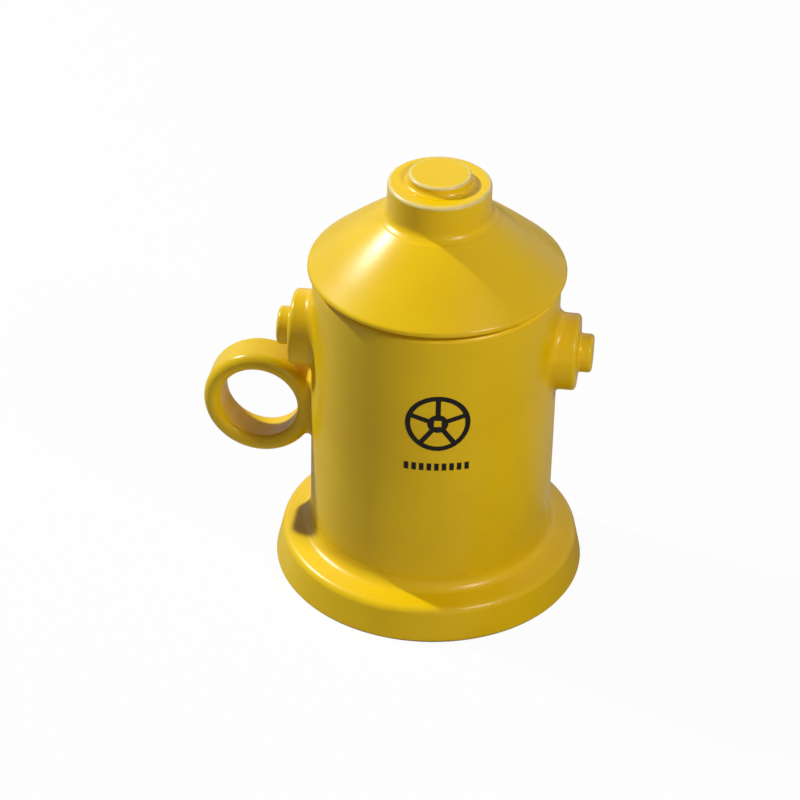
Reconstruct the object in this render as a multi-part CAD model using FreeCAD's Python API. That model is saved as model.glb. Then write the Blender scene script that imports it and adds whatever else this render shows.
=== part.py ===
"""Lidded ceramic container in the shape of a fire hydrant.

One STEP file per piece goes to parts/. Millimetres, +Z up. The origin is the centre of the foot that the
container stands on, the side nozzles lie along X, and the ring handle is on the -X side.

The body is a thrown cup with a flange luted round its foot, two blind nozzles and a ring handle. The lid is a
conical shell with a locating skirt, a finial and a button. A silicone seal lies between the lid and the cup.
"""

import math
import os

import FreeCAD
import Part
from FreeCAD import Vector

# Cup
BARREL_R = 42.2
BARREL_WALL = 4.7
RIM_Z = 116.5
RIM_OUTER_ROUND = 1.8
RIM_INNER_ROUND = 1.4
UNDERSIDE_Z = 2.5
FLOOR_THICKNESS = 5.5
FLOOR_ROUND = 7.0

# Flange round the foot
FLANGE_REACH = 12.3
FLANGE_H = 15.0
FLANGE_FALL = 2.9
FLANGE_DRAFT = 2.6
FLANGE_EDGE_ROUND = 3.2
FLANGE_COVE = 4.6
FLANGE_TOE_H = 3.6
FLANGE_LOWER_ROUND = 0.6
FOOT_H = 0.4
FOOT_BACK = 2.8
FOOT_SETBACK = 0.7
COVE_TOE = 0.1

# Side nozzles
NOZZLE_DROP = 26.8
BOSS_R = 13.2
BOSS_REACH = 7.2
BOSS_EDGE_ROUND = 1.6
BOSS_COVE = 3.0
CAP_R = 6.65
CAP_REACH = 4.9
CAP_EDGE_ROUND = 1.3
CAP_COVE = 1.2

# Ring handle
RING_DROP = 31.6
RING_R = 19.8
RING_THICKNESS = 6.0
RING_WIDTH = 15.3
RING_OUTER_ROUND = 3.3
RING_INNER_ROUND = 2.6
RING_SINK = 1.3
RING_COVE = 1.6
RING_TURN_DEG = -2.8

# Seal
SEAL_T = 1.7
SEAL_SETBACK = 1.6
COLLAR_H = 7.0
COLLAR_T = 1.9
RIB_PROUD = 0.8
RIB_T = 1.2
RIB_PITCH = 3.0
RIB_COUNT = 2
SEAL_TO_BORE = 0.3
SEAL_TO_SKIRT = 0.2

# Lid
BRIM_OVERHANG = 1.7
BRIM_H = 1.5
BRIM_LOWER_ROUND = 0.7
BRIM_UPPER_ROUND = 1.6
CONE_RISE = 21.2
CONE_BULGE = 0.6
BULGE_SPREAD = 0.72
LID_WALL = 4.5
SKIRT_WALL = 4.3
BEAD_PROUD = 1.3
BEAD_H = 3.2
BEAD_GAP = 0.3
BEAD_EDGE_ROUND = 1.2
BEAD_TOP_ROUND = 0.5

# Finial and its button
FINIAL_R = 17.5
FINIAL_H = 11.0
FINIAL_EDGE_ROUND = 1.2
FINIAL_COVE = 3.4
FINIAL_FOOT = 2.8
FINIAL_WALL = 4.8
FINIAL_INNER_ROUND = 3.0
BUTTON_R = 10.6
BUTTON_H = 3.4
BUTTON_EDGE_ROUND = 0.9
BUTTON_COVE = 1.8

# Fired marks on the front of the cup: a valve hand wheel over a row of bars
MARK_T = 0.12
MARK_TURN_DEG = 8.9
WHEEL_DROP = 33.1
WHEEL_R = 10.9
WHEEL_RIM_W = 1.7
WHEEL_HUB_R = 3.5
WHEEL_SQUARE = 2.6
SPOKE_COUNT = 5
SPOKE_W = 1.7
BARS_DROP = 17.6
BAR_COUNT = 9
BAR_W = 1.5
BAR_H = 2.8
BAR_PITCH = 2.55

# Places that follow from the sizes above
BORE_R = BARREL_R - BARREL_WALL
BASE_R = BARREL_R + FLANGE_REACH
FOOT_INNER_R = BARREL_R + FOOT_BACK
FLOOR_Z = UNDERSIDE_Z + FLOOR_THICKNESS
NOZZLE_Z = RIM_Z - NOZZLE_DROP
RING_Z = NOZZLE_Z - RING_DROP
WHEEL_Z = RIM_Z - WHEEL_DROP
BARS_Z = WHEEL_Z - BARS_DROP
BOSS_END_X = BARREL_R + BOSS_REACH
CAP_END_X = BOSS_END_X + CAP_REACH
RING_CENTRE_X = -(BARREL_R - RING_SINK + RING_R)
SEAT_Z = RIM_Z + SEAL_T
RIB_R = BORE_R - SEAL_TO_BORE
COLLAR_R = RIB_R - RIB_PROUD
SEAL_INNER_R = COLLAR_R - COLLAR_T
COLLAR_BOTTOM_Z = RIM_Z - COLLAR_H
SKIRT_R = SEAL_INNER_R - SEAL_TO_SKIRT
HOLLOW_R = SKIRT_R - SKIRT_WALL
BRIM_R = BARREL_R + BRIM_OVERHANG
FINIAL_TOP_Z = SEAT_Z + BRIM_H + CONE_RISE + FINIAL_H
FINIAL_BORE_R = FINIAL_R - FINIAL_WALL


def direction(start, end):
    """The unit vector from start to end."""
    return (end - start).normalize()


def legs(points, i):
    """The directions from corner i back to the corner before it and on to the next, and half the angle between."""
    back = direction(points[i], points[i - 1])
    ahead = direction(points[i], points[(i + 1) % len(points)])
    return back, ahead, back.getAngle(ahead) / 2


def fitted(points, radii):
    """The radii, each limited where two roundings would meet on the straight run between their corners."""
    tangents = [radius / math.tan(legs(points, i)[2]) for i, radius in enumerate(radii)]
    shares = []
    for i, tangent in enumerate(tangents):
        room = points[i].distanceToPoint(points[i - 1])
        shares.append(min(1, room / max(tangent + tangents[i - 1], 1e-9)))
    return [radius * min(share, after) for radius, share, after in zip(radii, shares, shares[1:] + shares[:1])]


def rounded_corner(points, radii, i):
    """Where the rounding of corner i starts, its middle point, and where it ends. A sharp corner has no middle."""
    corner = points[i]
    if not radii[i]:
        return corner, None, corner
    back, ahead, half_angle = legs(points, i)
    tangent = radii[i] / math.tan(half_angle)
    inset = radii[i] / math.sin(half_angle) - radii[i]
    inward = direction(Vector(), back + ahead)
    return corner + back * tangent, corner + inward * inset, corner + ahead * tangent


def outline(corners):
    """A closed face in the XZ plane through corners (x, z, radius), each rounded to its radius."""
    points = [Vector(x, 0, z) for x, z, _ in corners]
    radii = fitted(points, [radius for _, _, radius in corners])
    rounds = [rounded_corner(points, radii, i) for i in range(len(points))]
    edges = []
    for (start, middle, end), (following, _, _) in zip(rounds, rounds[1:] + rounds[:1]):
        if middle:
            edges.append(Part.Arc(start, middle, end).toShape())
        if end.distanceToPoint(following) > 1e-6:
            edges.append(Part.LineSegment(end, following).toShape())
    return Part.Face(Part.Wire(edges))


def turned(corners, axis=Vector(0, 0, 1)):
    """The solid that an outline makes when it goes once round an axis through the origin."""
    return outline(corners).revolve(Vector(), axis, 360)


def barrel_core():
    """The cup's outer cylinder as a solid, which pieces on its wall are cut to."""
    return Part.makeCylinder(BARREL_R, RIM_Z)


def coved_onto_barrel(piece, cove):
    """A piece cut to the barrel's wall, with a cove of the given radius where it meets the wall."""
    core = barrel_core()
    joined = core.fuse(piece).removeSplitter()
    seam = [edge for edge in joined.Edges if lies_on_wall(edge) and touches(edge, piece)]
    return joined.makeFillet(cove, seam).cut(core)


def lies_on_wall(edge):
    """Whether every sampled point of an edge is on the barrel's wall, clear of its two ends."""
    return all(
        abs(math.hypot(point.x, point.y) - BARREL_R) < 1e-3 and 1 < point.z < RIM_Z - 1
        for point in edge.discretize(9)
    )


def touches(edge, piece):
    """Whether both ends of an edge are on a piece's surface."""
    ends = [edge.valueAt(edge.FirstParameter), edge.valueAt(edge.LastParameter)]
    skin = Part.makeCompound(piece.Faces)
    return all(Part.Vertex(point).distToShape(skin)[0] < 1e-3 for point in ends)


def barrel():
    """The cup: an upright cylinder with a flat floor and a rounded rim."""
    return turned([
        (0, UNDERSIDE_Z, 0),
        (BARREL_R, UNDERSIDE_Z, 0),
        (BARREL_R, RIM_Z, RIM_OUTER_ROUND),
        (BORE_R, RIM_Z, RIM_INNER_ROUND),
        (BORE_R, FLOOR_Z, FLOOR_ROUND),
        (0, FLOOR_Z, 0),
    ])


def base_flange():
    """The wide foot round the cup. Its top falls away to a soft edge, and a cove runs up to the wall."""
    toe_r = BARREL_R + COVE_TOE
    return turned([
        (BARREL_R, UNDERSIDE_Z, 0),
        (FOOT_INNER_R, UNDERSIDE_Z, 0),
        (FOOT_INNER_R, FOOT_H, 0),
        (BASE_R, FOOT_H, FLANGE_LOWER_ROUND),
        (BASE_R - FLANGE_DRAFT, FLANGE_H - FLANGE_FALL, FLANGE_EDGE_ROUND),
        (toe_r, FLANGE_H, FLANGE_COVE),
        (toe_r, FLANGE_H + FLANGE_TOE_H, 0),
        (BARREL_R, FLANGE_H + FLANGE_TOE_H, 0),
    ])


def foot_ring():
    """The bare clay ring under the flange, which the container stands on."""
    outer_r = BASE_R - FOOT_SETBACK
    return turned([
        (FOOT_INNER_R, 0, FOOT_H / 2),
        (outer_r, 0, FOOT_H / 2),
        (outer_r, FOOT_H, 0),
        (FOOT_INNER_R, FOOT_H, 0),
    ])


def placed_nozzle(piece, side):
    """A nozzle piece that was made along +X at the origin, put on the right (1) or left (-1) side."""
    if side < 0:
        piece.rotate(Vector(), Vector(0, 0, 1), 180)
    piece.translate(Vector(0, 0, NOZZLE_Z))
    return piece


def nozzle_boss(side):
    """The wide round stub of a blind nozzle, coved onto the wall."""
    stub = turned([
        (0, 0, 0),
        (BOSS_END_X, 0, 0),
        (BOSS_END_X, BOSS_R, BOSS_EDGE_ROUND),
        (0, BOSS_R, 0),
    ], Vector(1, 0, 0))
    return coved_onto_barrel(placed_nozzle(stub, side), BOSS_COVE)


def nozzle_cap(side):
    """The small round cap on a boss, with a cove at its foot."""
    cap = turned([
        (BOSS_END_X, 0, 0),
        (CAP_END_X, 0, 0),
        (CAP_END_X, CAP_R, CAP_EDGE_ROUND),
        (BOSS_END_X + COVE_TOE, CAP_R, CAP_COVE),
        (BOSS_END_X + COVE_TOE, CAP_R + CAP_COVE, 0),
        (BOSS_END_X, CAP_R + CAP_COVE, 0),
    ], Vector(1, 0, 0))
    return placed_nozzle(cap, side)


def ring_handle():
    """The finger ring: a band bent into a circle in an upright plane, its side coved onto the wall."""
    inner = RING_R - RING_THICKNESS
    half = RING_WIDTH / 2
    band = outline([
        (inner, -half, RING_INNER_ROUND),
        (RING_R, -half, RING_OUTER_ROUND),
        (RING_R, half, RING_OUTER_ROUND),
        (inner, half, RING_INNER_ROUND),
    ]).revolve(Vector(), Vector(0, 0, 1), 360)
    band.rotate(Vector(), Vector(1, 0, 0), 90)
    band.translate(Vector(RING_CENTRE_X, 0, RING_Z))
    band.rotate(Vector(), Vector(0, 0, 1), RING_TURN_DEG)
    return coved_onto_barrel(band, RING_COVE)


def seal_ring():
    """The silicone seal: a flat flange on the rim, and a ribbed collar inside the bore."""
    corners = [
        (SEAL_INNER_R, COLLAR_BOTTOM_Z, 0),
        (COLLAR_R, COLLAR_BOTTOM_Z, 0),
    ]
    for i in range(RIB_COUNT):
        middle = COLLAR_BOTTOM_Z + RIB_PITCH / 2 + i * RIB_PITCH
        corners += [
            (COLLAR_R, middle - RIB_T / 2, 0),
            (RIB_R, middle, RIB_T / 6),
            (COLLAR_R, middle + RIB_T / 2, 0),
        ]
    corners += [
        (COLLAR_R, RIM_Z, 0),
        (BARREL_R - SEAL_SETBACK, RIM_Z, 0),
        (BARREL_R - SEAL_SETBACK, SEAT_Z, 0),
        (SEAL_INNER_R, SEAT_Z, 0),
    ]
    return turned(corners)


def cone_line():
    """The four points of the cone's outer outline: brim edge, crown of the bulge, finial foot, and finial corner."""
    brim = Vector(BRIM_R, 0, SEAT_Z + BRIM_H)
    corner = Vector(FINIAL_R, 0, brim.z + CONE_RISE)
    along = direction(brim, corner)
    outward = Vector(along.z, 0, -along.x)
    crown = (brim + corner) / 2 + outward * CONE_BULGE
    foot = corner + direction(corner, crown) * FINIAL_FOOT
    return brim, crown, foot, corner


def lid_cone():
    """The lid's conical shell, its outer side slightly full, with an even wall down to the brim."""
    brim, crown, foot, corner = cone_line()
    reach = BULGE_SPREAD * min(crown.distanceToPoint(brim), crown.distanceToPoint(foot))
    turn = direction(brim, crown).getAngle(direction(crown, foot))
    fullness = reach / math.tan(turn / 2)
    chord_z = brim.z + (brim.x - HOLLOW_R) * CONE_RISE / (brim.x - corner.x)
    return turned([
        (HOLLOW_R, SEAT_Z, 0),
        (BRIM_R, SEAT_Z, BRIM_LOWER_ROUND),
        (brim.x, brim.z, BRIM_UPPER_ROUND),
        (crown.x, crown.z, fullness),
        (foot.x, foot.z, 0),
        (FINIAL_BORE_R, foot.z, 0),
        (FINIAL_BORE_R, foot.z - LID_WALL / 2, 0),
        (HOLLOW_R, chord_z - LID_WALL, 0),
    ])


def lid_skirt():
    """The ring under the lid that goes into the cup. Its lower bead keeps the seal on when the lid is lifted."""
    bead_r = SKIRT_R + BEAD_PROUD
    bead_top = COLLAR_BOTTOM_Z - BEAD_GAP
    bottom = bead_top - BEAD_H
    return turned([
        (HOLLOW_R, SEAT_Z, 0),
        (HOLLOW_R, bottom, BEAD_EDGE_ROUND),
        (bead_r, bottom, BEAD_EDGE_ROUND),
        (bead_r, bead_top, BEAD_TOP_ROUND),
        (SKIRT_R, bead_top, 0),
        (SKIRT_R, SEAT_Z, 0),
    ])


def lid_finial():
    """The hollow stub on top of the cone: a short upright cylinder with a closed, round-edged top."""
    _, _, foot, corner = cone_line()
    ceiling_z = FINIAL_TOP_Z - FINIAL_WALL
    return turned([
        (FINIAL_BORE_R, foot.z, 0),
        (foot.x, foot.z, 0),
        (corner.x, corner.z, FINIAL_COVE),
        (FINIAL_R, FINIAL_TOP_Z, FINIAL_EDGE_ROUND),
        (0, FINIAL_TOP_Z, 0),
        (0, ceiling_z, 0),
        (FINIAL_BORE_R, ceiling_z, FINIAL_INNER_ROUND),
    ])


def finial_button():
    """The low round button on the finial, with a cove at its foot."""
    toe_z = FINIAL_TOP_Z + COVE_TOE
    foot_r = BUTTON_R + BUTTON_COVE
    return turned([
        (0, FINIAL_TOP_Z, 0),
        (foot_r, FINIAL_TOP_Z, 0),
        (foot_r, toe_z, 0),
        (BUTTON_R, toe_z, BUTTON_COVE),
        (BUTTON_R, FINIAL_TOP_Z + BUTTON_H, BUTTON_EDGE_ROUND),
        (0, FINIAL_TOP_Z + BUTTON_H, 0),
    ])


def disc(radius, z):
    """A round prism that runs forwards (-Y) from the cup's axis, for a mark on the cup's front."""
    return Part.makeCylinder(radius, 2 * BARREL_R, Vector(0, 0, z), Vector(0, -1, 0))


def bar(width, height, x, z):
    """A square-cornered prism that runs forwards from the cup's axis, centred on (x, z)."""
    return Part.makeBox(width, 2 * BARREL_R, height, Vector(x - width / 2, -2 * BARREL_R, z - height / 2))


def printed(shape):
    """A mark's prism reduced to a thin skin on the cup's wall, and turned to its place."""
    skin = Part.makeCylinder(BARREL_R + MARK_T, RIM_Z).cut(barrel_core())
    mark = skin.common(shape)
    mark.rotate(Vector(), Vector(0, 0, 1), MARK_TURN_DEG)
    return mark


def mark_wheel():
    """A valve hand wheel: a rim, a hub with a square hole, and the spokes between them."""
    rim = disc(WHEEL_R, WHEEL_Z).cut(disc(WHEEL_R - WHEEL_RIM_W, WHEEL_Z))
    spoke = bar(SPOKE_W, WHEEL_R - WHEEL_RIM_W / 2, 0, WHEEL_Z + (WHEEL_R - WHEEL_RIM_W / 2) / 2)
    spokes = [
        spoke.rotated(Vector(0, 0, WHEEL_Z), Vector(0, 1, 0), i * 360 / SPOKE_COUNT)
        for i in range(SPOKE_COUNT)
    ]
    wheel = disc(WHEEL_HUB_R, WHEEL_Z).multiFuse([rim] + spokes)
    return printed(wheel.cut(bar(WHEEL_SQUARE, WHEEL_SQUARE, 0, WHEEL_Z)).removeSplitter())


def mark_bars():
    """A row of short upright bars."""
    middle = (BAR_COUNT - 1) / 2
    bars = [bar(BAR_W, BAR_H, (i - middle) * BAR_PITCH, BARS_Z) for i in range(BAR_COUNT)]
    return printed(Part.makeCompound(bars))


def pieces():
    """Every piece by its name, from the foot up."""
    made = {
        "foot_ring": foot_ring(),
        "base_flange": base_flange(),
        "barrel": barrel(),
        "ring_handle": ring_handle(),
        "mark_bars": mark_bars(),
        "mark_wheel": mark_wheel(),
    }
    for name, side in (("right", 1), ("left", -1)):
        made["nozzle_boss_" + name] = nozzle_boss(side)
        made["nozzle_cap_" + name] = nozzle_cap(side)
    made["seal_ring"] = seal_ring()
    made["lid_skirt"] = lid_skirt()
    made["lid_cone"] = lid_cone()
    made["lid_finial"] = lid_finial()
    made["finial_button"] = finial_button()
    return made


def main():
    """Write each piece to parts/ and print its volume."""
    os.makedirs("parts", exist_ok=True)
    for name, shape in pieces().items():
        shape.exportStep("parts/" + name + ".step")
        print(name, len(shape.Solids), "solid", round(shape.Volume / 1000, 2), "cm3", shape.isValid())


main()
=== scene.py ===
"""The looks of a lidded earthenware pot in the shape of a fire hydrant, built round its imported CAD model.

The pot is slip-cast white earthenware under a satin yellow glaze. A cup stands on a flanged foot and carries
two blind nozzles, a finger ring and a fired black mark. A silicone seal lies on its rim, and the lid is a
cone with a finial and a button. Each turned piece is an outline carried once round its axis. The pot's own
sizes are in millimetres; points handed to Blender are in metres.
"""

import sys

import logging
from dataclasses import dataclass
from enum import Enum
from typing import Any, Sequence

import bmesh
import bpy
import numpy as np
from mathutils import Matrix, Vector

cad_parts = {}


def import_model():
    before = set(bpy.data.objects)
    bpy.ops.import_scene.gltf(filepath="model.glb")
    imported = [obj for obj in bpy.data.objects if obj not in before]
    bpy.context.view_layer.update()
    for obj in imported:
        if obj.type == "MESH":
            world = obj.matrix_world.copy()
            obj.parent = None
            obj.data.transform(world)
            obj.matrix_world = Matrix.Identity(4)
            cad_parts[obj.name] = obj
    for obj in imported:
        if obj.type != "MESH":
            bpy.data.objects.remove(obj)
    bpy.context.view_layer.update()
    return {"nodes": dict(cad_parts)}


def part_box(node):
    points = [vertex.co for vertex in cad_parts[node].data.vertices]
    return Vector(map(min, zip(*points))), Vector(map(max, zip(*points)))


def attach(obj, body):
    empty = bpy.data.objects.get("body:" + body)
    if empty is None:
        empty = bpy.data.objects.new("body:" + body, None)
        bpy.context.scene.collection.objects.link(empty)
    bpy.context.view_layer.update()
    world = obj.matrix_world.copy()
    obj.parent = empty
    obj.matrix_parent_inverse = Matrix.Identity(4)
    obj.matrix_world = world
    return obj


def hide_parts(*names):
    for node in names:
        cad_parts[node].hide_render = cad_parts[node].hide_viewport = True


MM = 0.001
SHARP_ANGLE = np.radians(38)

# Sizes that more than one piece takes, in mm.
CUP_WALL = 4.7
COVE_TOE = 0.1

# The glaze_depth where a piece copied from the CAD meets the wall. It is a share, not a length.
POOL_DEPTH = 0.8
# How far out from the wall the glaze pools on such a piece, in mm.
POOL_REACH = 1.3

log = logging.getLogger("hydrant_pot")


class Slot(Enum):
    """The record's material slots."""

    GLAZE = "yellow_glaze"
    CLAY = "bare_clay"
    PRINT = "black_print"
    SILICONE = "silicone"


class Axis(Enum):
    """The line that an outline is carried round, and the way it runs."""

    UP = ((1.0, 0.0, 0.0), (0.0, 1.0, 0.0), (0.0, 0.0, 1.0))
    RIGHT = ((0.0, 1.0, 0.0), (0.0, 0.0, 1.0), (1.0, 0.0, 0.0))
    LEFT = ((0.0, -1.0, 0.0), (0.0, 0.0, 1.0), (-1.0, 0.0, 0.0))


@dataclass(frozen=True)
class Box:
    """A CAD node's lowest and highest corners at rest, in millimetres."""

    low: np.ndarray
    high: np.ndarray

    @classmethod
    def of(cls, node: str) -> "Box":
        """The box of a CAD node.

        Args:
            node: The node's name.

        Returns:
            Its box, in millimetres.
        """
        low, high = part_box(node)
        return cls(np.array(low) / MM, np.array(high) / MM)

    @property
    def middle(self) -> np.ndarray:
        """The box's centre.

        Returns:
            The centre, in millimetres.
        """
        return (self.low + self.high) / 2


@dataclass(frozen=True)
class Corner:
    """A corner of an outline.

    Attributes:
        r: Its distance from the axis, in mm.
        z: Its place along the axis, in mm.
        rounding: The radius that it is rounded to, in mm; 0 leaves it sharp.
    """

    r: float
    z: float
    rounding: float = 0.0


@dataclass(frozen=True)
class Outline:
    """A half section, as points in order with the body on their left, and how it bends there.

    Attributes:
        r: Distances from the axis, in mm.
        z: Places along the axis, in mm.
        bend: The signed curvature, per mm: above 0 over an edge, below 0 in a cove.
        closed: Whether the last point joins the first, as on a ring.
    """

    r: np.ndarray
    z: np.ndarray
    bend: np.ndarray
    closed: bool

    @classmethod
    def through(cls, corners: Sequence[Corner], closed: bool = False, step: float = 1.2) -> "Outline":
        """Joins corners with straight runs and tangent arcs.

        An arc of radius R at a corner has its centre on the bisector, R / sin(half angle) from the corner,
        and turns from one leg's normal to the other's. A run is divided evenly.

        Args:
            corners: The corners in order, with the body on their left.
            closed: Whether the last corner joins the first.
            step: The longest distance between points on a run, in mm.

        Returns:
            The outline.
        """
        places = np.array([(corner.r, corner.z) for corner in corners])
        arcs = [cls._arc(places, corners, i, closed) for i in range(len(corners))]
        points, bends = [], []
        for i, (arc, bend) in enumerate(arcs):
            points.append(arc)
            bends.append(np.full(len(arc), bend))
            if i == len(arcs) - 1 and not closed:
                break
            start, end = arc[-1], arcs[(i + 1) % len(arcs)][0][0]
            count = max(1, int(np.ceil(np.linalg.norm(end - start) / step)))
            between = np.linspace(0, 1, count + 1)[1:-1, None]
            points.append(start + (end - start) * between)
            bends.append(np.zeros(count - 1))
        points, bends = np.concatenate(points), np.concatenate(bends)
        apart = np.linalg.norm(points - np.roll(points, 1, axis=0), axis=1) > 1e-6
        return cls(points[apart, 0], points[apart, 1], bends[apart], closed)

    @staticmethod
    def _arc(places: np.ndarray, corners: Sequence[Corner], i: int, closed: bool) -> tuple[np.ndarray, float]:
        """The points of one corner, and the curvature there.

        Args:
            places: Every corner's place.
            corners: The corners.
            i: Which corner.
            closed: Whether the outline is closed.

        Returns:
            The corner's points, one if it is sharp, and its signed curvature.
        """
        radius = corners[i].rounding
        if not radius or (not closed and i in (0, len(corners) - 1)):
            return places[i : i + 1], 0.0
        back, ahead = places[i - 1] - places[i], places[(i + 1) % len(corners)] - places[i]
        back, ahead = back / np.linalg.norm(back), ahead / np.linalg.norm(ahead)
        half = np.arccos(np.clip(back @ ahead, -1, 1)) / 2
        centre = places[i] + (back + ahead) / np.linalg.norm(back + ahead) * radius / np.sin(half)
        start = places[i] + back * radius / np.tan(half) - centre
        side = np.sign(-back[0] * ahead[1] + back[1] * ahead[0])
        sweep = np.pi - 2 * half
        count = max(5, int(np.ceil(np.degrees(sweep) / 6)), int(np.ceil(sweep * radius / 1.2)))
        turn = side * np.linspace(0, sweep, count + 1)
        arc = np.stack([
            start[0] * np.cos(turn) - start[1] * np.sin(turn),
            start[0] * np.sin(turn) + start[1] * np.cos(turn),
        ], axis=1)
        return centre + arc, side / radius

    def glaze_depth(self, reach: float) -> np.ndarray:
        """How thick the glaze lies: drawn thin over edges and pooled in coves, as the curvature blurred along
        the outline with a bell of the given reach.

        Args:
            reach: How far the glaze flows from an edge, in mm.

        Returns:
            A value for each point, about -1 over a sharp edge and +1 in a tight cove.
        """
        steps = np.hypot(np.diff(self.r), np.diff(self.z))
        along = np.concatenate([[0.0], np.cumsum(steps)])
        share = np.gradient(along)
        weight = np.exp(-(((along[:, None] - along[None, :]) / reach) ** 2)) * share[None, :]
        return -(weight @ self.bend) / np.sqrt(np.pi)


@dataclass(frozen=True)
class HandWork:
    """The slight unevenness of a piece that was trimmed and sponged by hand.

    Attributes:
        depth: How far the wall wanders from true, in mm.
        turns: How many waves go once round, for each of the three waves that are added up.
        climb: How far a wave leans for each mm of height, in radians.
        phases: Where each wave starts, in radians.
        shares: How much each wave counts.
        inner_r: Points nearer the axis than this stay true, in mm.
        fade: How far out from there the waves reach their full depth, in mm.
    """

    depth: float = 0.09
    turns: tuple[int, int, int] = (2, 3, 5)
    climb: tuple[float, float, float] = (0.021, -0.034, 0.055)
    phases: tuple[float, float, float] = (0.4, 2.1, 4.4)
    shares: tuple[float, float, float] = (0.5, 0.3, 0.2)
    inner_r: float = 38.5
    fade: float = 1.5

    def settled(self, points: np.ndarray) -> np.ndarray:
        """Moves points in or out from the axis by the sum of three leaning waves.

        Args:
            points: Points of the outer wall, in mm.

        Returns:
            The same points, moved.
        """
        around = np.arctan2(points[:, 1], points[:, 0])[:, None]
        waves = np.sin(np.array(self.turns) * around + np.array(self.climb) * points[:, 2:3] + self.phases)
        radius = np.hypot(points[:, 0], points[:, 1])
        inside = np.clip((radius - self.inner_r) / self.fade, 0, 1)
        scale = 1 + self.depth * inside * (waves @ np.array(self.shares)) / np.maximum(radius, 1)
        return points * np.stack([scale, scale, np.ones_like(scale)], axis=1)


def linear(colour: str) -> tuple[float, float, float, float]:
    """Turns an sRGB hex colour into linear light.

    Args:
        colour: Such as "#E8C010".

    Returns:
        Red, green, blue and an alpha of 1.
    """
    shares = np.array([int(colour[i : i + 2], 16) for i in (1, 3, 5)]) / 255
    low, high = shares / 12.92, ((shares + 0.055) / 1.055) ** 2.4
    return (*np.where(shares <= 0.04045, low, high).tolist(), 1.0)


def add_node(
    tree: bpy.types.NodeTree, kind: str, inputs: dict[Any, Any] | None = None, **settings: Any
) -> bpy.types.Node:
    """Adds a node to a tree.

    Args:
        tree: The node tree.
        kind: The node's type name.
        inputs: What each input socket is linked to or set to, by the socket's name or number.
        **settings: Properties of the node.

    Returns:
        The node.
    """
    node = tree.nodes.new(kind)
    for name, value in settings.items():
        setattr(node, name, value)
    for socket, value in (inputs or {}).items():
        if isinstance(value, bpy.types.NodeSocket):
            tree.links.new(value, node.inputs[socket])
        else:
            node.inputs[socket].default_value = value
    return node


def new_material(name: str) -> bpy.types.Material:
    """An empty node-based material.

    Args:
        name: The new material's name.

    Returns:
        The material.
    """
    material = bpy.data.materials.new(name)
    material.use_nodes = True
    material.node_tree.nodes.clear()
    return material


def noise(
    tree: bpy.types.NodeTree, size: float, detail: float = 3.0, roughness: float = 0.5
) -> bpy.types.NodeSocket:
    """Cloudy noise over the object's own coordinates.

    Args:
        tree: The node tree.
        size: The size of the clouds, in mm.
        detail: How many finer layers are added.
        roughness: How strong the finer layers are.

    Returns:
        The noise's output socket, about 0.5 on average.
    """
    place = add_node(tree, "ShaderNodeTexCoord").outputs["Object"]
    sockets = {"Vector": place, "Scale": 1 / (size * MM), "Detail": detail, "Roughness": roughness}
    return add_node(tree, "ShaderNodeTexNoise", sockets).outputs["Fac"]


def mapped(
    tree: bpy.types.NodeTree,
    value: bpy.types.NodeSocket,
    source: tuple[float, float],
    target: tuple[float, float],
) -> bpy.types.NodeSocket:
    """Maps a value from one range to another, held at the target's ends.

    Args:
        tree: The node tree.
        value: The socket to map.
        source: Where the value runs from and to.
        target: What those two become.

    Returns:
        The mapped socket.
    """
    sockets = {"Value": value, 1: source[0], 2: source[1], 3: target[0], 4: target[1]}
    return add_node(tree, "ShaderNodeMapRange", sockets, clamp=True).outputs[0]


def mixed(
    tree: bpy.types.NodeTree, share: bpy.types.NodeSocket, first: Any, second: Any
) -> bpy.types.NodeSocket:
    """Mixes two colours.

    Args:
        tree: The node tree.
        share: How much of the second colour there is, as a socket.
        first: A socket or a linear colour.
        second: A socket or a linear colour.

    Returns:
        The mixed colour's socket.
    """
    sockets = {0: share, 6: first, 7: second}
    return add_node(tree, "ShaderNodeMix", sockets, data_type="RGBA").outputs[2]


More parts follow.
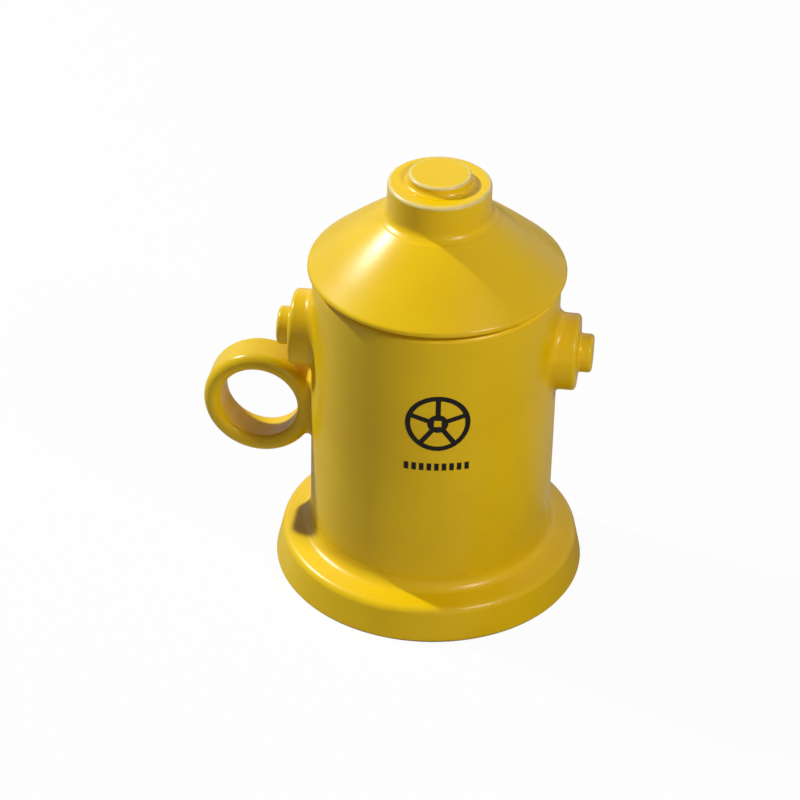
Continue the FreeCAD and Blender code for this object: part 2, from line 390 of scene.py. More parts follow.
@dataclass(frozen=True)
class YellowGlaze:
    """Opaque zircon yellow earthenware glaze, sprayed on and fired: a satin glass skin over a clay body.

    It pulls thin over the finial's sharp edges, where a pale line is painted in, partly as glaze break and
    partly as a painted highlight. It lies a little deeper in coves, and has a faint orange-peel ripple with a
    pinhole here and there.
    """

    name: str = "yellow_earthenware_glaze"
    ground: str = "#F1CC04"
    cloud: str = "#EBC303"
    pooled: str = "#E0B001"
    # The pale cream of the line over sharp edges: partly glaze break, partly a painted highlight.
    glaze_break_and_highlight: str = "#E6D596"
    pinhole: str = "#8A6A08"
    ior: float = 1.5
    specular: float = 0.3
    roughness: tuple[float, float] = (0.27, 0.31)
    cloud_mm: float = 38.0
    ripple_mm: float = 2.4
    ripple_depth_mm: float = 0.012
    swell_mm: float = 17.0
    swell_depth_mm: float = 0.05
    pooled_from: tuple[float, float] = (0.1, 0.9)
    pooled_share: float = 0.5
    glaze_break_and_highlight_from: tuple[float, float] = (-0.48, -0.60)
    glaze_break_and_highlight_share: float = 0.8
    ragged_mm: float = 5.0
    ragged: float = 0.08
    pinhole_pitch_mm: float = 9.0
    pinhole_mm: float = 0.16

    def material(self) -> bpy.types.Material:
        """Builds the glaze.

        Returns:
            The material, which reads the glaze_depth attribute.
        """
        material = new_material(self.name)
        tree = material.node_tree
        depth = add_node(tree, "ShaderNodeAttribute", attribute_name="glaze_depth").outputs["Fac"]
        clouds = mapped(tree, noise(tree, self.cloud_mm), (0.35, 0.65), (0.0, 1.0))
        colour = mixed(tree, clouds, linear(self.ground), linear(self.cloud))
        deep = mapped(tree, depth, self.pooled_from, (0.0, self.pooled_share))
        colour = mixed(tree, deep, colour, linear(self.pooled))
        # Where the glaze is drawn thinnest over an edge, a pale cream line is painted in: partly glaze break,
        # partly a painted highlight.
        ragged = mapped(tree, noise(tree, self.ragged_mm, 4.0), (0.3, 0.7), (0.0, self.ragged))
        drawn = add_node(tree, "ShaderNodeMath", {0: depth, 1: ragged}, operation="ADD").outputs[0]
        glaze_break_and_highlight_mask = mapped(tree, drawn, self.glaze_break_and_highlight_from, (0.0, self.glaze_break_and_highlight_share))
        colour = mixed(tree, glaze_break_and_highlight_mask, colour, linear(self.glaze_break_and_highlight))
        colour = mixed(tree, self._pinholes(tree), colour, linear(self.pinhole))
        gloss = mapped(tree, noise(tree, 21.0), (0.35, 0.65), self.roughness)
        swell = add_node(tree, "ShaderNodeBump", {
            "Height": noise(tree, self.swell_mm, 1.0), "Distance": self.swell_depth_mm * MM, "Strength": 1.0,
        }).outputs[0]
        ripple = add_node(tree, "ShaderNodeBump", {
            "Height": noise(tree, self.ripple_mm, 2.0),
            "Distance": self.ripple_depth_mm * MM,
            "Strength": 1.0,
            "Normal": swell,
        }).outputs[0]
        shader = add_node(tree, "ShaderNodeBsdfPrincipled", {
            "Base Color": colour,
            "Roughness": gloss,
            "IOR": self.ior,
            "Specular IOR Level": self.specular,
            "Normal": ripple,
        })
        add_node(tree, "ShaderNodeOutputMaterial", {"Surface": shader.outputs[0]})
        return material

    def _pinholes(self, tree: bpy.types.NodeTree) -> bpy.types.NodeSocket:
        """Small round pits, kept in about a third of the cells of a Voronoi pattern.

        Args:
            tree: The node tree.

        Returns:
            A socket that is near 1 in a pit and 0 elsewhere.
        """
        place = add_node(tree, "ShaderNodeTexCoord").outputs["Object"]
        pattern = {"Vector": place, "Scale": 1 / (self.pinhole_pitch_mm * MM)}
        cells = add_node(tree, "ShaderNodeTexVoronoi", pattern)
        radius = self.pinhole_mm / self.pinhole_pitch_mm
        pit = mapped(tree, cells.outputs["Distance"], (radius, radius * 2), (0.6, 0.0))
        chosen = add_node(tree, "ShaderNodeSeparateColor", {0: cells.outputs["Color"]}).outputs[0]
        kept = mapped(tree, chosen, (0.66, 0.68), (0.0, 1.0))
        return add_node(tree, "ShaderNodeMath", {0: pit, 1: kept}, operation="MULTIPLY").outputs[0]


@dataclass(frozen=True)
class BareClay:
    """White earthenware, bisque fired and left bare: a dry matt cream with fine sandy grains and scuffs."""

    name: str = "bare_white_earthenware"
    body: str = "#D8CBB2"
    sand: str = "#B7A588"
    roughness: float = 0.85
    grain_mm: float = 0.7
    grain_depth_mm: float = 0.05

    def material(self) -> bpy.types.Material:
        """Builds the clay.

        Returns:
            The material.
        """
        material = new_material(self.name)
        tree = material.node_tree
        grain = noise(tree, self.grain_mm, 4.0, 0.6)
        sanded = mapped(tree, grain, (0.4, 0.7), (0.0, 1.0))
        colour = mixed(tree, sanded, linear(self.body), linear(self.sand))
        bump = add_node(tree, "ShaderNodeBump", {
            "Height": grain, "Distance": self.grain_depth_mm * MM, "Strength": 1.0,
        })
        shader = add_node(tree, "ShaderNodeBsdfPrincipled", {
            "Base Color": colour, "Roughness": self.roughness, "Normal": bump.outputs[0],
        })
        add_node(tree, "ShaderNodeOutputMaterial", {"Surface": shader.outputs[0]})
        return material


@dataclass(frozen=True)
class BlackPrint:
    """A black ceramic transfer, screen printed and fired in: smooth, a little greyer where it is thin."""

    name: str = "fired_black_transfer"
    ink: str = "#0B0A08"
    thin_ink: str = "#1B1710"
    specular: float = 0.25
    roughness: tuple[float, float] = (0.4, 0.5)
    mottle_mm: float = 1.1

    def material(self) -> bpy.types.Material:
        """Builds the print.

        Returns:
            The material.
        """
        material = new_material(self.name)
        tree = material.node_tree
        mottle = noise(tree, self.mottle_mm, 3.0)
        worn = mapped(tree, mottle, (0.45, 0.7), (0.0, 1.0))
        colour = mixed(tree, worn, linear(self.ink), linear(self.thin_ink))
        shader = add_node(tree, "ShaderNodeBsdfPrincipled", {
            "Base Color": colour, "Roughness": mapped(tree, mottle, (0.3, 0.7), self.roughness),
            "Specular IOR Level": self.specular,
        })
        add_node(tree, "ShaderNodeOutputMaterial", {"Surface": shader.outputs[0]})
        return material


@dataclass(frozen=True)
class Silicone:
    """Moulded silicone rubber, translucent milky white: light goes a little way in, and dust dulls it."""

    name: str = "moulded_milky_silicone"
    body: str = "#F0EEE6"
    dusty: str = "#E0DCD0"
    roughness: float = 0.6
    specular: float = 0.3
    cloud_mm: float = 6.0

    def material(self) -> bpy.types.Material:
        """Builds the silicone.

        Returns:
            The material.
        """
        material = new_material(self.name)
        tree = material.node_tree
        dust = mapped(tree, noise(tree, self.cloud_mm, 4.0), (0.4, 0.7), (0.0, 1.0))
        shader = add_node(tree, "ShaderNodeBsdfPrincipled", {
            "Base Color": mixed(tree, dust, linear(self.body), linear(self.dusty)),
            "Roughness": self.roughness,
            "IOR": 1.41,
            "Specular IOR Level": self.specular,
            "Subsurface Weight": 0.5,
            "Subsurface Radius": (0.004, 0.004, 0.003),
            "Subsurface Scale": 1.0,
        })
        add_node(tree, "ShaderNodeOutputMaterial", {"Surface": shader.outputs[0]})
        return material


class Kiln:
    """Fires each finish once and gives it to pieces by slot."""

    def __init__(self) -> None:
        """Builds the four finishes."""
        self.finishes = {
            Slot.GLAZE: YellowGlaze().material(),
            Slot.CLAY: BareClay().material(),
            Slot.PRINT: BlackPrint().material(),
            Slot.SILICONE: Silicone().material(),
        }

    def finish(self, piece: bpy.types.Object, body: str, slot: Slot, node: str) -> bpy.types.Object:
        """Gives a piece its finish and its body, hides the CAD node that it stands for, and reports it.

        Args:
            piece: The piece, in place.
            body: The body that it rides on.
            slot: Its material slot.
            node: The CAD node that it replaces.

        Returns:
            The piece.
        """
        piece.data.materials.clear()
        piece.data.materials.append(self.finishes[slot])
        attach(piece, body)
        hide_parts(node)
        log.info("%s: %d faces, on %s, %s", piece.name, len(piece.data.polygons), body, slot.value)
        return piece


def signed_volume(points: np.ndarray, quads: np.ndarray) -> float:
    """Six times the volume inside a closed mesh of quads: the sum of each face's triple products.

    Args:
        points: The mesh's points.
        quads: Four point numbers for each face.

    Returns:
        The signed sum, above 0 when the faces are outwards.
    """
    a, b, c, d = (points[quads[:, k]] for k in range(4))
    return float(np.sum(np.cross(a, b) * c) + np.sum(np.cross(a, c) * d))


def grid_mesh(name: str, grid: np.ndarray, depth: np.ndarray, closed: bool) -> bpy.types.Object:
    """A closed mesh from a grid of points that goes round in its second direction.

    Quad (i, j) joins rows i and i + 1 and columns j and j + 1. A ring's last row joins its first; any other
    grid's first and last rows have shrunk to a pole, whose points are merged.

    Args:
        name: The new object's name.
        grid: Points in mm, shaped rows, columns, 3.
        depth: The glaze's depth, shaped rows, columns.
        closed: Whether the last row joins the first.

    Returns:
        The object, at the origin, with its faces outwards and smooth up to the sharp angle.
    """
    rows, columns = grid.shape[:2]
    index = np.arange(rows * columns).reshape(rows, columns)
    if not closed:
        index[0] = index[0, 0]
        index[-1] = index[-1, 0]
    last = rows if closed else rows - 1
    low = index[np.arange(last)]
    high = index[(np.arange(last) + 1) % rows]
    quads = np.stack([low, np.roll(low, -1, 1), np.roll(high, -1, 1), high], axis=2).reshape(-1, 4)
    points = grid.reshape(-1, 3)
    if signed_volume(points, quads) < 0:
        quads = quads[:, ::-1]
    used, numbers = np.unique(quads, return_inverse=True)
    numbers = numbers.reshape(quads.shape)
    single = numbers != np.roll(numbers, -1, axis=1)
    sizes = single.sum(axis=1)
    mesh = bpy.data.meshes.new(name)
    mesh.vertices.add(len(used))
    mesh.vertices.foreach_set("co", (points[used] * MM).astype(np.float32).ravel())
    mesh.loops.add(int(sizes.sum()))
    mesh.loops.foreach_set("vertex_index", numbers[single].astype(np.int32))
    mesh.polygons.add(len(sizes))
    mesh.polygons.foreach_set("loop_start", (np.cumsum(sizes) - sizes).astype(np.int32))
    mesh.update(calc_edges=True)
    attribute = mesh.attributes.new("glaze_depth", "FLOAT", "POINT")
    attribute.data.foreach_set("value", depth.reshape(-1)[used].astype(np.float32))
    return shaded(name, mesh)


def shaded(name: str, mesh: bpy.types.Mesh) -> bpy.types.Object:
    """Puts a mesh in the scene, smooth except over its sharp edges.

    Args:
        name: The new object's name.
        mesh: The mesh, with its faces outwards.

    Returns:
        The object.
    """
    mesh.validate()
    mesh.shade_smooth()
    mesh.set_sharp_from_angle(angle=SHARP_ANGLE)
    piece = bpy.data.objects.new(name, mesh)
    bpy.context.scene.collection.objects.link(piece)
    return piece


def turned(
    name: str,
    outline: Outline,
    around: int,
    axis: Axis = Axis.UP,
    origin: Sequence[float] = (0.0, 0.0, 0.0),
    hand: HandWork | None = None,
    flow: float = 0.9,
    thinnest: float = -0.35,
) -> bpy.types.Object:
    """Carries an outline round an axis: point (i, j) is r[i] (cos a[j], sin a[j]) across and z[i] along it.

    Args:
        name: The new object's name.
        outline: The half section.
        around: How many points go once round.
        axis: The axis and its direction.
        origin: A point on the axis, in mm.
        hand: The unevenness of the outer wall, if any.
        flow: How far the glaze flows from an edge, in mm.
        thinnest: The thinnest that the glaze is drawn over an edge, on the scale of its depth; below about
            -0.5
                the glaze's pale edge line shows, partly glaze break and partly a painted highlight.

    Returns:
        The turned piece.
    """
    angle = np.linspace(0, 2 * np.pi, around, endpoint=False)
    across = outline.r[:, None] * np.cos(angle), outline.r[:, None] * np.sin(angle)
    along = np.broadcast_to(outline.z[:, None], across[0].shape)
    grid = np.stack([*across, along], axis=2) @ np.array(axis.value) + np.array(origin)
    if hand:
        grid = hand.settled(grid.reshape(-1, 3)).reshape(grid.shape)
    depth = np.maximum(outline.glaze_depth(flow), thinnest)
    depth = np.broadcast_to(depth[:, None], across[0].shape)
    return grid_mesh(name, grid, depth, outline.closed)


def smoothed_copy(name: str, node: bpy.types.Object, hand: HandWork, wall_r: float) -> bpy.types.Object:
    """A copy of a CAD node's mesh, doubles merged, smooth-shaded, and settled with the wall it sits on.

    The glaze pools where the piece meets the wall: its depth falls off as a bell of the distance from it.

    Args:
        name: The new object's name.
        node: The CAD node's object.
        hand: The unevenness of the wall.
        wall_r: The wall's radius, in mm.

    Returns:
        The new piece.
    """
    mesh = node.data.copy()
    mesh.name = name
    joined = bmesh.new()
    joined.from_mesh(mesh)
    bmesh.ops.remove_doubles(joined, verts=joined.verts, dist=0.002 * MM)
    joined.to_mesh(mesh)
    joined.free()
    points = np.empty(len(mesh.vertices) * 3, np.float32)
    mesh.vertices.foreach_get("co", points)
    points = hand.settled(points.reshape(-1, 3).astype(float) / MM)
    mesh.vertices.foreach_set("co", (points * MM).astype(np.float32).ravel())
    away = np.hypot(points[:, 0], points[:, 1]) - wall_r
    attribute = mesh.attributes.new("glaze_depth", "FLOAT", "POINT")
    attribute.data.foreach_set("value", (POOL_DEPTH * np.exp(-((away / POOL_REACH) ** 2))).astype(np.float32))
    piece = shaded(name, mesh)
    piece.modifiers.new("even_normals", "WEIGHTED_NORMAL").keep_sharp = True
    return piece


@dataclass
class Cup:
    """The cup on its flanged foot, with its nozzles, its finger ring and its mark. Sizes in mm."""

    kiln: Kiln
    nodes: dict[str, bpy.types.Object]
    hand: HandWork
    wall: float = CUP_WALL
    rim_outer_round: float = 1.8
    rim_inner_round: float = 1.4
    floor_thickness: float = 5.5
    floor_round: float = 7.0
    flange_h: float = 15.0
    flange_fall: float = 2.9
    flange_draft: float = 2.6
    flange_edge_round: float = 3.2
    flange_cove: float = 4.6
    flange_toe_h: float = 3.6
    flange_lower_round: float = 0.6
    foot_back: float = 2.8
    foot_edge_round: float = 0.2
    boss_r: float = 13.2
    boss_edge_round: float = 1.6
    boss_cove: float = 3.0
    boss_sink: float = 0.6
    cap_r: float = 6.65
    cap_edge_round: float = 1.3
    cap_cove: float = 1.2
    sunk: float = 0.4
    body: str = "cup"

    def build(self) -> None:
        """Makes every piece of the cup and dresses it."""
        self._barrel()
        self._flange()
        self._foot()
        for side, axis in (("right", Axis.RIGHT), ("left", Axis.LEFT)):
            self._boss(side, axis)
            self._cap(side, axis)
        self._ring()
        self._marks()

    def _dress(self, piece: bpy.types.Object, slot: Slot, node: str) -> None:
        """Finishes a piece of the cup in place of its CAD node.

        Args:
            piece: The piece, in place.
            slot: Its material slot.
            node: The CAD node that it replaces.
        """
        self.kiln.finish(piece, self.body, slot, node)

    def _barrel(self) -> None:
        """The upright cylinder with its flat floor and rounded rim."""
        box = Box.of("barrel")
        outer, low, rim = box.high[0], box.low[2], box.high[2]
        inner, floor = outer - self.wall, low + self.floor_thickness
        outline = Outline.through([
            Corner(0, low),
            Corner(outer, low),
            Corner(outer, rim, self.rim_outer_round),
            Corner(inner, rim, self.rim_inner_round),
            Corner(inner, floor, self.floor_round),
            Corner(0, floor),
        ])
        self._dress(turned("glazed_barrel", outline, 288, hand=self.hand), Slot.GLAZE, "barrel")

    def _flange(self) -> None:
        """The wide foot: its top falls away to a soft edge, and a cove runs up to the barrel."""
        barrel, foot, box = Box.of("barrel"), Box.of("foot_ring"), Box.of("base_flange")
        wall_r, toe_r = barrel.high[0], barrel.high[0] + COVE_TOE
        base_r, inner_r = box.high[0], wall_r + self.foot_back
        toe_top = self.flange_h + self.flange_toe_h
        outline = Outline.through([
            Corner(wall_r, barrel.low[2]),
            Corner(inner_r, barrel.low[2]),
            Corner(inner_r, foot.high[2]),
            Corner(base_r, foot.high[2], self.flange_lower_round),
            Corner(base_r - self.flange_draft, self.flange_h - self.flange_fall, self.flange_edge_round),
            Corner(toe_r, self.flange_h, self.flange_cove),
            Corner(toe_r, toe_top),
            Corner(wall_r, toe_top),
        ], closed=True)
        self._dress(turned("glazed_flange", outline, 320, hand=self.hand), Slot.GLAZE, "base_flange")

    def _foot(self) -> None:
        """The bare clay ring that the pot stands on."""
        box, flange = Box.of("foot_ring"), Box.of("base_flange")
        inner_r = Box.of("barrel").high[0] + self.foot_back
        outline = Outline.through([
            Corner(inner_r, box.low[2], self.foot_edge_round),
            Corner(box.high[0], box.low[2], self.foot_edge_round),
            Corner(box.high[0], flange.low[2]),
            Corner(inner_r, flange.low[2]),
        ], closed=True)
        self._dress(turned("bare_foot_ring", outline, 320), Slot.CLAY, "foot_ring")

    def _boss(self, side: str, axis: Axis) -> None:
        """A nozzle's wide stub, with a rolling-ball cove onto the barrel.

        A ball of the cove's radius c rests on the stub (radius s) and on the barrel (radius R). At angle a
        round the stub its centre is (x, y, z) = (sqrt((R + c)^2 - y^2), (s + c) cos a, (s + c) sin a), and
        the cove is the arc about that centre from the barrel's side to the stub's side.

        Args:
            side: "right" or "left".
            axis: The way the nozzle points.
        """
        node = "nozzle_boss_" + side
        box, barrel_r = Box.of(node), Box.of("barrel").high[0]
        end = max(abs(box.low[0]), abs(box.high[0]))
        angle = np.linspace(0, 2 * np.pi, 192, endpoint=False)
        ring = np.stack([np.zeros_like(angle), np.cos(angle), np.sin(angle)], axis=1)
        ball = ring * (self.boss_r + self.boss_cove)
        ball[:, 0] = np.sqrt((barrel_r + self.boss_cove) ** 2 - ball[:, 1] ** 2)
        to_wall = -ball * np.array([1, 1, 0])
        to_wall /= np.linalg.norm(to_wall, axis=1, keepdims=True)
        open_angle = np.arccos(np.clip(np.sum(to_wall * -ring, axis=1), -1, 1))[None, :, None]
        turn = np.linspace(0, 1, 15)[:, None, None]
        from_wall = np.sin((1 - turn) * open_angle) * to_wall
        cove = (from_wall - np.sin(turn * open_angle) * ring) / np.sin(open_angle)
        cove = ball + self.boss_cove * cove
        shrink = np.linspace(0, 1, 8)[:-1, None]
        back = np.stack(np.broadcast_arrays(0, shrink * cove[0, :, 1], shrink * cove[0, :, 2]), 2)
        back[..., 0] = np.sqrt((barrel_r - self.boss_sink) ** 2 - back[..., 1] ** 2)
        shoulder = end - self.boss_edge_round
        run = np.linspace(0, 1, 6)[1:-1, None, None]
        wall = ring * self.boss_r + np.array([1, 0, 0]) * (ball[:, :1] + (shoulder - ball[:, :1]) * run)
        over = np.linspace(0, np.pi / 2, 13)[:, None, None]
        edge = ring * (self.boss_r - self.boss_edge_round * (1 - np.cos(over)))
        edge = edge + np.array([1, 0, 0]) * (shoulder + self.boss_edge_round * np.sin(over))
        inward = np.linspace(1, 0, 11)[1:, None, None]
        face = ring * (self.boss_r - self.boss_edge_round) * inward + np.array([end, 0, 0])
        grid = np.concatenate([back, cove, wall, edge, face])
        # The glaze lies deep in the cove, evens out along the stub and thins a little over its edge.
        depth = np.concatenate([
            np.full(len(back), 0.6),
            0.25 + 0.3 * np.sin(np.linspace(0, np.pi, len(cove))),
            np.linspace(0.2, -0.2, len(wall)),
            -0.1 - 0.2 * np.sin(np.linspace(0, np.pi, len(edge))),
            np.linspace(-0.1, 0.0, len(face)),
        ])
        if axis is Axis.LEFT:
            grid = grid * np.array([-1, -1, 1])
        grid = grid + np.array([0, 0, Box.of("nozzle_cap_" + side).middle[2]])
        grid = self.hand.settled(grid.reshape(-1, 3)).reshape(grid.shape)
        piece = grid_mesh("glazed_nozzle_" + side, grid, np.tile(depth[:, None], len(angle)), closed=False)
        self._dress(piece, Slot.GLAZE, node)

    def _cap(self, side: str, axis: Axis) -> None:
        """The small round cap on a nozzle, with a cove at its foot.

        Args:
            side: "right" or "left".
            axis: The way the nozzle points.
        """
        node = "nozzle_cap_" + side
        box = Box.of(node)
        start, end = sorted((abs(box.low[0]), abs(box.high[0])))
        foot_r = self.cap_r + self.cap_cove
        outline = Outline.through([
            Corner(0, start - self.sunk),
            Corner(foot_r, start - self.sunk),
            Corner(foot_r, start + COVE_TOE),
            Corner(self.cap_r, start + COVE_TOE, self.cap_cove),
            Corner(self.cap_r, end, self.cap_edge_round),
            Corner(0, end),
        ], step=0.8)
        origin = (0.0, 0.0, box.middle[2])
        piece = turned("glazed_nozzle_cap_" + side, outline, 128, axis, origin, flow=0.7)
        self._dress(piece, Slot.GLAZE, node)

    def _ring(self) -> None:
        """The finger ring, whose side is coved onto the barrel."""
        wall_r = Box.of("barrel").high[0]
        piece = smoothed_copy("glazed_finger_ring", self.nodes["ring_handle"], self.hand, wall_r)
        self._dress(piece, Slot.GLAZE, "ring_handle")

    def _marks(self) -> None:
        """The fired mark: a valve hand wheel over a row of bars."""
        wall_r = Box.of("barrel").high[0]
        for name, node in (("printed_hand_wheel", "mark_wheel"), ("printed_bars", "mark_bars")):
            self._dress(smoothed_copy(name, self.nodes[node], self.hand, wall_r), Slot.PRINT, node)


@dataclass
class Seal:
    """The silicone seal: a flat flange on the rim, and a collar with ribs in the bore. Sizes in mm."""

    kiln: Kiln
    collar_t: float = 1.9
    rib_proud: float = 0.8
    rib_t: float = 1.2
    rib_pitch: float = 3.0
    rib_count: int = 2
    to_bore: float = 0.3
    edge_round: float = 0.3

    def build(self) -> None:
        """Makes the seal and dresses it."""
        box, barrel = Box.of("seal_ring"), Box.of("barrel")
        top, bottom, rim = box.high[2], box.low[2], barrel.high[2]
        rib_r = barrel.high[0] - CUP_WALL - self.to_bore
        collar_r = rib_r - self.rib_proud
        inner_r = collar_r - self.collar_t
        corners = [Corner(inner_r, bottom, self.edge_round), Corner(collar_r, bottom)]
        for i in range(self.rib_count):
            middle = bottom + self.rib_pitch / 2 + i * self.rib_pitch
            corners += [
                Corner(collar_r, middle - self.rib_t / 2),
                Corner(rib_r, middle, self.rib_t / 6),
                Corner(collar_r, middle + self.rib_t / 2),
            ]
        corners += [
            Corner(collar_r, rim),
            Corner(box.high[0], rim, self.edge_round),
            Corner(box.high[0], top, self.edge_round),
            Corner(inner_r, top),
        ]
        piece = turned("silicone_seal", Outline.through(corners, closed=True), 256)
        self.kiln.finish(piece, "seal", Slot.SILICONE, "seal_ring")


@dataclass
class Lid:
    """The conical lid, its skirt, its finial and its button. Sizes in mm."""

    kiln: Kiln
    brim_h: float = 1.5
    brim_lower_round: float = 0.7
    brim_upper_round: float = 1.6
    cone_rise: float = 21.2
    cone_bulge: float = 0.6
    bulge_spread: float = 0.72
    wall: float = 4.5
    skirt_wall: float = 4.3
    bead_h: float = 3.2
    bead_proud: float = 1.3
    bead_edge_round: float = 1.2
    bead_top_round: float = 0.5
    finial_r: float = 17.5
    finial_edge_round: float = 1.2
    finial_cove: float = 3.4
    finial_foot: float = 2.8
    finial_wall: float = 4.8
    finial_inner_round: float = 3.0
    button_r: float = 10.6
    button_edge_round: float = 0.9
    button_cove: float = 1.8
    button_sunk: float = 0.4
    body: str = "lid"

    def build(self) -> None:
        """Makes every piece of the lid and dresses it."""
        skirt, cone = Box.of("lid_skirt"), Box.of("lid_cone")
        self.seat = cone.low[2]
        self.brim_r = cone.high[0]
        self.skirt_r = skirt.high[0] - self.bead_proud
        self.hollow_r = self.skirt_r - self.skirt_wall
        self.bore_r = self.finial_r - self.finial_wall
        self.corner = np.array([self.finial_r, self.seat + self.brim_h + self.cone_rise])
        self.brim = np.array([self.brim_r, self.seat + self.brim_h])
        along = (self.corner - self.brim) / np.linalg.norm(self.corner - self.brim)
        outward = np.array([along[1], -along[0]])
        self.crown = (self.brim + self.corner) / 2 + outward * self.cone_bulge
        lean = (self.crown - self.corner) / np.linalg.norm(self.crown - self.corner)
        self.foot = self.corner + lean * self.finial_foot
        self._cone()
        self._skirt()
        self._finial()
        self._button()

    def _dress(self, piece: bpy.types.Object, node: str) -> None:
        """Finishes a piece of the lid in place of its CAD node.

        Args:
            piece: The piece, in place.
            node: The CAD node that it replaces.
        """
        self.kiln.finish(piece, self.body, Slot.GLAZE, node)

    def _cone(self) -> None:
        """The conical shell: its outer side slightly full, with an even wall down to the brim."""
        reach = self.bulge_spread * min(
            np.linalg.norm(self.crown - self.brim), np.linalg.norm(self.foot - self.crown)
        )
        first = (self.crown - self.brim) / np.linalg.norm(self.crown - self.brim)
        second = (self.foot - self.crown) / np.linalg.norm(self.foot - self.crown)
        fullness = reach / np.tan(np.arccos(np.clip(first @ second, -1, 1)) / 2)
        slope = self.cone_rise / (self.brim[0] - self.corner[0])
        under = self.brim[1] + (self.brim[0] - self.hollow_r) * slope - self.wall
        outline = Outline.through([
            Corner(self.hollow_r, self.seat),
            Corner(self.brim_r, self.seat, self.brim_lower_round),
            Corner(*self.brim, self.brim_upper_round),
            Corner(*self.crown, fullness),
            Corner(*self.foot),
            Corner(self.bore_r, self.foot[1]),
            Corner(self.bore_r, self.foot[1] - self.wall / 2),
            Corner(self.hollow_r, under),
        ], closed=True)
        self._dress(turned("glazed_lid_cone", outline, 288, flow=0.8), "lid_cone")

    def _skirt(self) -> None:
        """The ring under the lid, with a bead that keeps the seal on."""
        box = Box.of("lid_skirt")
        bottom, bead_r = box.low[2], self.skirt_r + self.bead_proud
        bead_top = bottom + self.bead_h
        outline = Outline.through([
            Corner(self.hollow_r, self.seat),
            Corner(self.hollow_r, bottom, self.bead_edge_round),
            Corner(bead_r, bottom, self.bead_edge_round),
            Corner(bead_r, bead_top, self.bead_top_round),
            Corner(self.skirt_r, bead_top),
            Corner(self.skirt_r, self.seat),
        ], closed=True)
        self._dress(turned("glazed_lid_skirt", outline, 256), "lid_skirt")

    def _finial(self) -> None:
        """The hollow stub on the cone, with a cove at its foot and a closed, round-edged top."""
        top = Box.of("lid_finial").high[2]
        ceiling = top - self.finial_wall
        outline = Outline.through([
            Corner(self.bore_r, self.foot[1]),
            Corner(*self.foot),
            Corner(*self.corner, self.finial_cove),
            Corner(self.finial_r, top, self.finial_edge_round),
            Corner(0, top),
        ], step=0.8)
        inside = Outline.through([
            Corner(0, ceiling),
            Corner(self.bore_r, ceiling, self.finial_inner_round),
            Corner(self.bore_r, self.foot[1]),
        ])
        joined = Outline(
            np.concatenate([inside.r, outline.r[1:]]),
            np.concatenate([inside.z, outline.z[1:]]),
            np.concatenate([-inside.bend, outline.bend[1:]]),
            False,
        )
        # thinnest=-1.0 lets the pale edge line show here: partly glaze break, partly a painted highlight.
        self._dress(turned("glazed_finial", joined, 256, flow=0.8, thinnest=-1.0), "lid_finial")

    def _button(self) -> None:
        """The low round button, with a cove at its foot."""
        box = Box.of("finial_button")
        base, top = box.low[2], box.high[2]
        foot_r = self.button_r + self.button_cove
        outline = Outline.through([
            Corner(0, base - self.button_sunk),
            Corner(foot_r, base - self.button_sunk),
            Corner(foot_r, base + COVE_TOE),
            Corner(self.button_r, base + COVE_TOE, self.button_cove),
            Corner(self.button_r, top, self.button_edge_round),
            Corner(0, top),
        ], step=0.8)
        # thinnest=-1.0 lets the pale edge line show here: partly glaze break, partly a painted highlight.
        self._dress(turned("glazed_button", outline, 192, flow=0.8, thinnest=-1.0), "finial_button")


@dataclass(frozen=True)
class SoftBox:
    """A round lamp behind diffusing cloth.

    Attributes:
        name: What it is for.
        azimuth: Where it stands, in degrees from +X towards +Y.
        elevation: How high it stands, in degrees.
        distance: How far it is from the pot, in metres.
        width: How far across it is, in metres.
        watts: Its power.
        colour: Its sRGB colour.
    """

    name: str
    azimuth: float
    elevation: float
    distance: float
    width: float
    watts: float
    colour: str = "#FFFFFF"

    def place(self, target: Vector) -> None:
        """Puts the lamp in the scene, facing the target.

        Args:
            target: What it lights.
        """
        turn, lift = np.radians(self.azimuth), np.radians(self.elevation)
        towards = Vector((np.cos(lift) * np.cos(turn), np.cos(lift) * np.sin(turn), np.sin(lift)))
        lamp = bpy.data.lights.new(self.name, "AREA")
        lamp.shape = "DISK"
        lamp.size = self.width
        lamp.energy = self.watts
        lamp.color = linear(self.colour)[:3]
        stand = bpy.data.objects.new(self.name, lamp)
        stand.location = target + towards * self.distance
        stand.rotation_euler = (-towards).to_track_quat("-Z", "Y").to_euler()
        bpy.context.scene.collection.objects.link(stand)


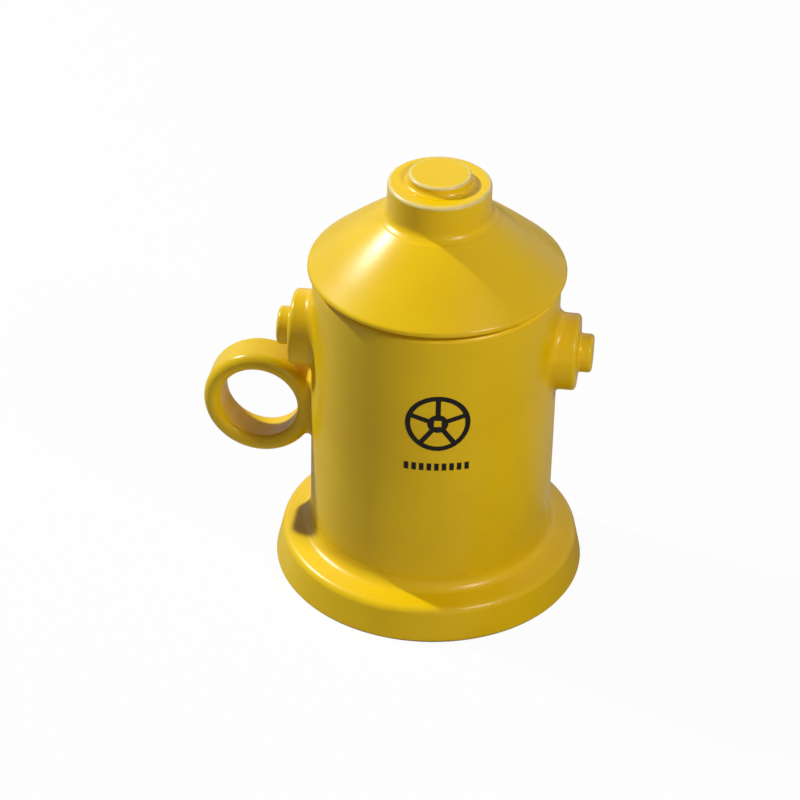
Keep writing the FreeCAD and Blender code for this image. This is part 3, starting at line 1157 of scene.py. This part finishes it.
@dataclass
class Studio:
    """The pale floor, the soft lamps, the white surroundings and the camera.

    Attributes:
        eye: Where the camera is, in metres.
        aim: What it looks at, in metres.
        roll: How far it is turned about its own axis, in radians.
        lens_mm: Its focal length.
        sensor_mm: Its sensor's width.
        floor_m: The length of the floor's side.
        floor_paint: The floor's sRGB colour.
        floor_glow: How bright the floor's own white is.
        floor_glow_share: How much of what the camera sees of the floor is that white.
        ambient: How strongly the surroundings light the pot.
        target: What the lamps face, in metres.
        lamps: The lamps.
    """

    eye: tuple[float, float, float] = (0.10156, -0.90544, 0.68300)
    aim: tuple[float, float, float] = (-0.01141, -0.00128, 0.06389)
    roll: float = 0.02438
    lens_mm: float = 142.83
    sensor_mm: float = 36.0
    floor_m: float = 6.0
    floor_paint: str = "#B4B4B4"
    floor_glow: float = 1.03
    floor_glow_share: float = 0.93
    ambient: float = 0.02
    target: tuple[float, float, float] = (0.0, 0.0, 0.08)
    lamps: tuple[SoftBox, ...] = (
        SoftBox("key", 160, 43, 1.2, 0.06, 13.5),
        SoftBox("side_fill", -38, 41, 0.8, 0.14, 3.2, "#FFF6E7"),
        SoftBox("front_fill", -70, 4, 0.8, 0.6, 0.7, "#FFF6E7"),
    )

    def build(self) -> None:
        """Makes the whole set."""
        for lamp in self.lamps:
            lamp.place(Vector(self.target))
        self._world()
        self._floor()
        self._camera()
        bpy.context.scene.view_settings.view_transform = "Standard"

    def _world(self) -> None:
        """White where it is seen, mirrored or looked through, and dimmer as a source of light."""
        world = bpy.data.worlds.new("surroundings")
        world.use_nodes = True
        tree = world.node_tree
        tree.nodes.clear()
        strength = mapped(tree, self._seen(tree), (0.0, 1.0), (self.ambient, 1.0))
        light = add_node(tree, "ShaderNodeBackground", {"Color": (1, 1, 1, 1), "Strength": strength})
        add_node(tree, "ShaderNodeOutputWorld", {"Surface": light.outputs[0]})
        bpy.context.scene.world = world

    def _seen(self, tree: bpy.types.NodeTree) -> bpy.types.NodeSocket:
        """Whether the ray is a camera, glossy or transmission ray.

        Args:
            tree: The world's node tree.

        Returns:
            A socket that is 1 for those rays and 0 for the others.
        """
        path = add_node(tree, "ShaderNodeLightPath")
        rays = [path.outputs[kind] for kind in ("Is Camera Ray", "Is Glossy Ray", "Is Transmission Ray")]
        pair = add_node(tree, "ShaderNodeMath", {0: rays[0], 1: rays[1]}, operation="MAXIMUM").outputs[0]
        return add_node(tree, "ShaderNodeMath", {0: pair, 1: rays[2]}, operation="MAXIMUM").outputs[0]

    def _floor(self) -> None:
        """A pale matt floor whose look is mostly its own white, so that the shadow on it stays faint."""
        half = self.floor_m / 2
        mesh = bpy.data.meshes.new("floor")
        corners = [(-half, -half, 0), (half, -half, 0), (half, half, 0), (-half, half, 0)]
        mesh.from_pydata(corners, [], [(0, 1, 2, 3)])
        floor = bpy.data.objects.new("floor", mesh)
        bpy.context.scene.collection.objects.link(floor)
        material = new_material("pale_floor")
        tree = material.node_tree
        paint = add_node(tree, "ShaderNodeBsdfDiffuse", {"Color": linear(self.floor_paint)}).outputs[0]
        glow = {"Color": (1, 1, 1, 1), "Strength": self.floor_glow}
        white = add_node(tree, "ShaderNodeEmission", glow).outputs[0]
        path = add_node(tree, "ShaderNodeLightPath").outputs["Is Camera Ray"]
        share = mapped(tree, path, (0.0, 1.0), (0.0, self.floor_glow_share))
        look = add_node(tree, "ShaderNodeMixShader", {0: share, 1: paint, 2: white}).outputs[0]
        add_node(tree, "ShaderNodeOutputMaterial", {"Surface": look})
        mesh.materials.append(material)

    def _camera(self) -> None:
        """A long lens from the front and above, turned a little about its own axis."""
        ahead = (Vector(self.aim) - Vector(self.eye)).normalized()
        right = ahead.cross(Vector((0, 0, 1))).normalized()
        up = right.cross(ahead)
        across = right * np.cos(self.roll) + up * np.sin(self.roll)
        upward = up * np.cos(self.roll) - right * np.sin(self.roll)
        camera = bpy.data.objects.new("camera", bpy.data.cameras.new("camera"))
        turn = Matrix((across, upward, -ahead)).transposed().to_4x4()
        camera.matrix_world = Matrix.Translation(self.eye) @ turn
        camera.data.lens = self.lens_mm
        camera.data.sensor_width = self.sensor_mm
        bpy.context.scene.collection.objects.link(camera)
        bpy.context.scene.camera = camera


def main() -> None:
    """Loads the frame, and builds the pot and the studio."""
    logging.basicConfig(level=logging.INFO, format="%(message)s", stream=sys.stdout)
    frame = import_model()
    kiln = Kiln()
    hand = HandWork()
    Cup(kiln, frame["nodes"], hand).build()
    Seal(kiln).build()
    Lid(kiln).build()
    Studio().build()


if __name__ == "__main__":
    main()
